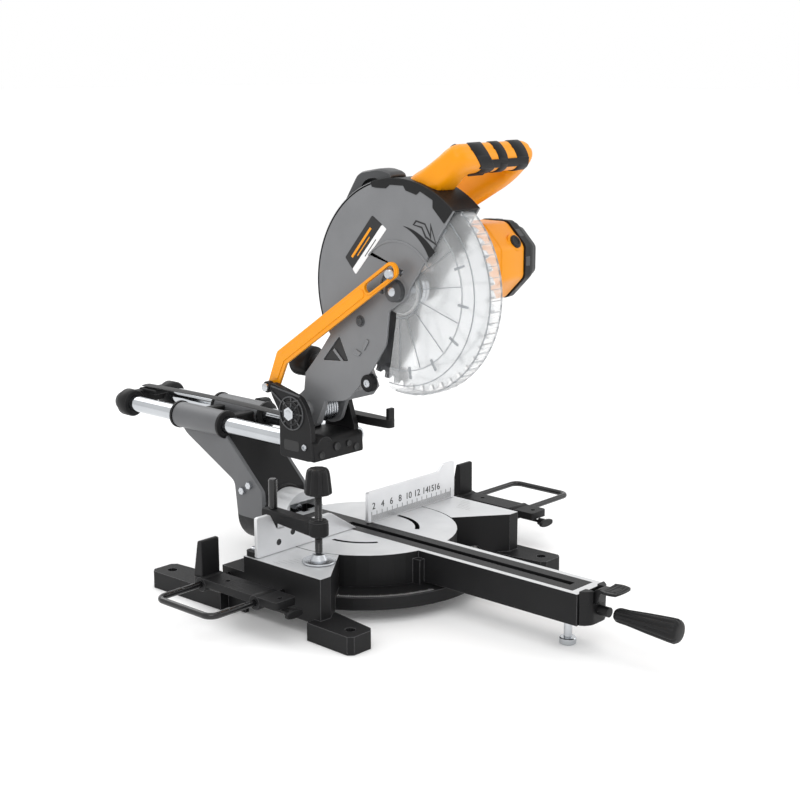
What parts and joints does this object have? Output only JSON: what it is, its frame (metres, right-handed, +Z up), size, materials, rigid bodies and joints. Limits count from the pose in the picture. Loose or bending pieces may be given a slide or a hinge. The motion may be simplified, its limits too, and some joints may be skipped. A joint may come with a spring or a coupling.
{
  "type": "sliding miter saw",
  "caption": "Sliding compound miter saw: turntable base with fence, tilting rail arm, spring-raised blade head with clear lower guard, hold-down clamp and extensions.",
  "frame": {"origin": "middle of the footprint, on the bench surface under the feet", "axes": "+X to the right along the fence, +Y to the back along the rails, +Z up"},
  "size_m": [0.703, 0.931, 0.5799],
  "materials": {
    "black_casting": "satin black powder coat",
    "black_steel_rod": "gloss black",
    "grey_casting": "satin grey paint",
    "machined_aluminium": "machined",
    "bright_steel": "bright",
    "chrome_plate": "polished",
    "black_plastic": "fine grain",
    "yellow_plastic": "satin",
    "yellow_paint": "gloss",
    "clear_plastic": "clear",
    "black_rubber": "matt",
    "copper_winding": "lacquered"
  },
  "bodies": {
    "base": {"base_casting": "black_casting", "fence_left": "machined_aluminium", "fence_right": "machined_aluminium", "turntable_pivot_bolt": "bright_steel"},
    "turntable": {"turntable": "black_casting", "kerf_insert": "black_plastic", "arm_end_cover": "black_plastic", "arm_support_bolt": "chrome_plate", "bevel_pivot_bolt": "bright_steel"},
    "detent_lever": {"detent_lever": "black_plastic"},
    "miter_lock": {"miter_lock_handle": "black_rubber"},
    "bevel_arm": {"bevel_arm": "grey_casting", "slide_liner_left": "black_plastic", "slide_liner_right": "black_plastic"},
    "bevel_lock": {"bevel_lock_lever": "black_plastic"},
    "slide_lock": {"slide_lock_knob": "black_plastic"},
    "carriage": {"rail_left": "chrome_plate", "rail_right": "chrome_plate", "rail_yoke": "black_casting", "cable_guide": "black_plastic", "head_bracket": "black_casting", "head_hinge_pin": "bright_steel", "link_pivot_pin": "bright_steel", "head_return_spring": "bright_steel"},
    "head": {"upper_guard": "grey_casting", "arbor_cap": "black_plastic", "gear_case": "grey_casting", "motor_housing": "yellow_plastic", "motor_end_cap": "black_plastic", "stator": "bright_steel", "spindle_bearing": "bright_steel", "motor_bearing_front": "bright_steel", "motor_bearing_rear": "bright_steel", "handle": "yellow_plastic", "carry_handle": "black_plastic", "dust_port": "black_plastic"},
    "trigger": {"trigger": "black_plastic"},
    "lock_off_button": {"lock_off_button": "black_plastic"},
    "blade": {"spindle": "bright_steel", "spindle_gear": "bright_steel", "saw_blade": "bright_steel", "flange_outer": "bright_steel", "flange_inner": "bright_steel", "arbor_screw": "bright_steel"},
    "armature": {"armature": "copper_winding", "cooling_fan": "black_plastic"},
    "lower_guard": {"lower_guard": "clear_plastic", "guard_pin": "bright_steel"},
    "guard_link": {"guard_link": "yellow_paint"},
    "depth_stop": {"depth_stop_arm": "black_casting"},
    "clamp_post": {"clamp_post": "black_casting"},
    "clamp_arm": {"clamp_arm": "black_casting"},
    "clamp_pad": {"clamp_pad": "bright_steel"},
    "clamp_screw": {"clamp_screw": "black_plastic"},
    "extension_wire_left": {"extension_wire_left": "black_steel_rod"},
    "extension_bar_left": {"extension_bar_left": "black_casting"},
    "extension_screw_left": {"extension_screw_left": "bright_steel"},
    "extension_wire_right": {"extension_wire_right": "black_steel_rod"},
    "extension_bar_right": {"extension_bar_right": "black_casting"},
    "extension_screw_right": {"extension_screw_right": "bright_steel"}
  },
  "joints": [
    {"name": "miter_turn", "type": "hinge", "parent": "base", "child": "turntable", "pos_m": [-0.044, 0.0135, 0], "axis": [0, 0, 1], "range_deg": [-45, 45]},
    {"name": "detent_release", "type": "hinge", "parent": "turntable", "child": "detent_lever", "pos_m": [-0.044, -0.3545, 0.0675], "axis": [1, 0, 0], "range_deg": [0, 8], "stiffness_Nm_per_rad": 1, "springref_deg": -17.19},
    {"name": "miter_lock_turn", "type": "hinge", "parent": "turntable", "child": "miter_lock", "pos_m": [-0.044, -0.3865, 0.052], "axis": [0, 1, 0], "range_deg": [0, 180]},
    {"name": "bevel_tilt", "type": "hinge", "parent": "turntable", "child": "bevel_arm", "pos_m": [-0.044, 0.166, 0.0745], "axis": [0, 1, 0], "range_deg": [-45, 0]},
    {"name": "bevel_lock_turn", "type": "hinge", "parent": "bevel_arm", "child": "bevel_lock", "pos_m": [-0.044, 0.2285, 0.0745], "axis": [0, 1, 0], "range_deg": [0, 40]},
    {"name": "slide_lock_turn", "type": "hinge", "parent": "bevel_arm", "child": "slide_lock", "pos_m": [0.016, 0.29, 0.1827], "axis": [1, 0, 0], "range_deg": [0, 180]},
    {"name": "carriage_slide", "type": "slide", "parent": "bevel_arm", "child": "carriage", "axis": [0, -1, 0], "range_m": [-0.117, 0.098]},
    {"name": "head_swing", "type": "hinge", "parent": "carriage", "child": "head", "pos_m": [-0.044, 0.0885, 0.226], "axis": [1, 0, 0], "range_deg": [0, 54], "stiffness_Nm_per_rad": 8, "springref_deg": -126.05, "deforming": ["head_return_spring"]},
    {"name": "trigger_pull", "type": "slide", "parent": "head", "child": "trigger", "axis": [0, -0.7314, 0.682], "range_m": [0, 0.005], "stiffness_N_per_m": 800, "springref_m": -0.003},
    {"name": "lock_off_press", "type": "slide", "parent": "head", "child": "lock_off_button", "axis": [0, -0.682, -0.7314], "range_m": [0, 0.004], "stiffness_N_per_m": 800, "springref_m": -0.003},
    {"name": "blade_spin", "type": "hinge", "parent": "head", "child": "blade", "pos_m": [-0.044, -0.0695, 0.398], "axis": [1, 0, 0], "continuous": true},
    {"name": "armature_spin", "type": "hinge", "parent": "head", "child": "armature", "pos_m": [-0.044, -0.0925, 0.425], "axis": [1, 0, 0], "continuous": true},
    {"name": "guard_swing", "type": "hinge", "parent": "head", "child": "lower_guard", "pos_m": [-0.044, -0.0695, 0.398], "axis": [1, 0, 0], "range_deg": [-107, 0]},
    {"name": "link_swing", "type": "hinge", "parent": "carriage", "child": "guard_link", "pos_m": [-0.093, 0.135, 0.254], "axis": [1, 0, 0], "range_deg": [0, 46.75]},
    {"name": "depth_stop_swing", "type": "hinge", "parent": "carriage", "child": "depth_stop", "pos_m": [0, 0.0815, 0.2], "axis": [0, 0, 1], "range_deg": [0, 90]},
    {"name": "clamp_turn", "type": "hinge", "parent": "base", "child": "clamp_post", "pos_m": [-0.187, 0.0375, 0.06], "axis": [0, 0, -1], "range_deg": [-50, 0]},
    {"name": "clamp_height", "type": "slide", "parent": "clamp_post", "child": "clamp_arm", "axis": [0, 0, 1], "range_m": [0, 0.04]},
    {"name": "clamp_pad_travel", "type": "slide", "parent": "clamp_arm", "child": "clamp_pad", "axis": [0, 0, 1], "range_m": [0, 0.02]},
    {"name": "clamp_screw_turn", "type": "hinge", "parent": "clamp_pad", "child": "clamp_screw", "pos_m": [-0.187, -0.0425, 0.1], "axis": [0, 0, 1], "range_deg": [0, 3600]},
    {"name": "extension_left_out", "type": "slide", "parent": "base", "child": "extension_wire_left", "axis": [1, 0, 0], "range_m": [-0.045, 0]},
    {"name": "stop_left_along", "type": "slide", "parent": "extension_wire_left", "child": "extension_bar_left", "axis": [1, 0, 0], "range_m": [-0.05, 0.012]},
    {"name": "stop_screw_left_turn", "type": "hinge", "parent": "extension_bar_left", "child": "extension_screw_left", "pos_m": [-0.2625, -0.0665, 0.0365], "axis": [0, 1, 0], "range_deg": [0, 180]},
    {"name": "extension_right_out", "type": "slide", "parent": "base", "child": "extension_wire_right", "axis": [1, 0, 0], "range_m": [-0.045, 0]},
    {"name": "stop_right_along", "type": "slide", "parent": "extension_wire_right", "child": "extension_bar_right", "axis": [1, 0, 0], "range_m": [-0.02, 0.08]},
    {"name": "stop_screw_right_turn", "type": "hinge", "parent": "extension_bar_right", "child": "extension_screw_right", "pos_m": [0.2285, -0.0665, 0.0365], "axis": [0, 1, 0], "range_deg": [0, 180]}
  ],
  "couplings": [
    {"joint": "guard_swing", "follows": "head_swing", "ratio": -1.9795},
    {"joint": "link_swing", "follows": "head_swing", "ratio": 0.86487},
    {"joint": "armature_spin", "follows": "blade_spin", "ratio": -3},
    {"joint": "clamp_screw_turn", "follows": "clamp_pad_travel", "rad_per_m": 3141.3}
  ]
}
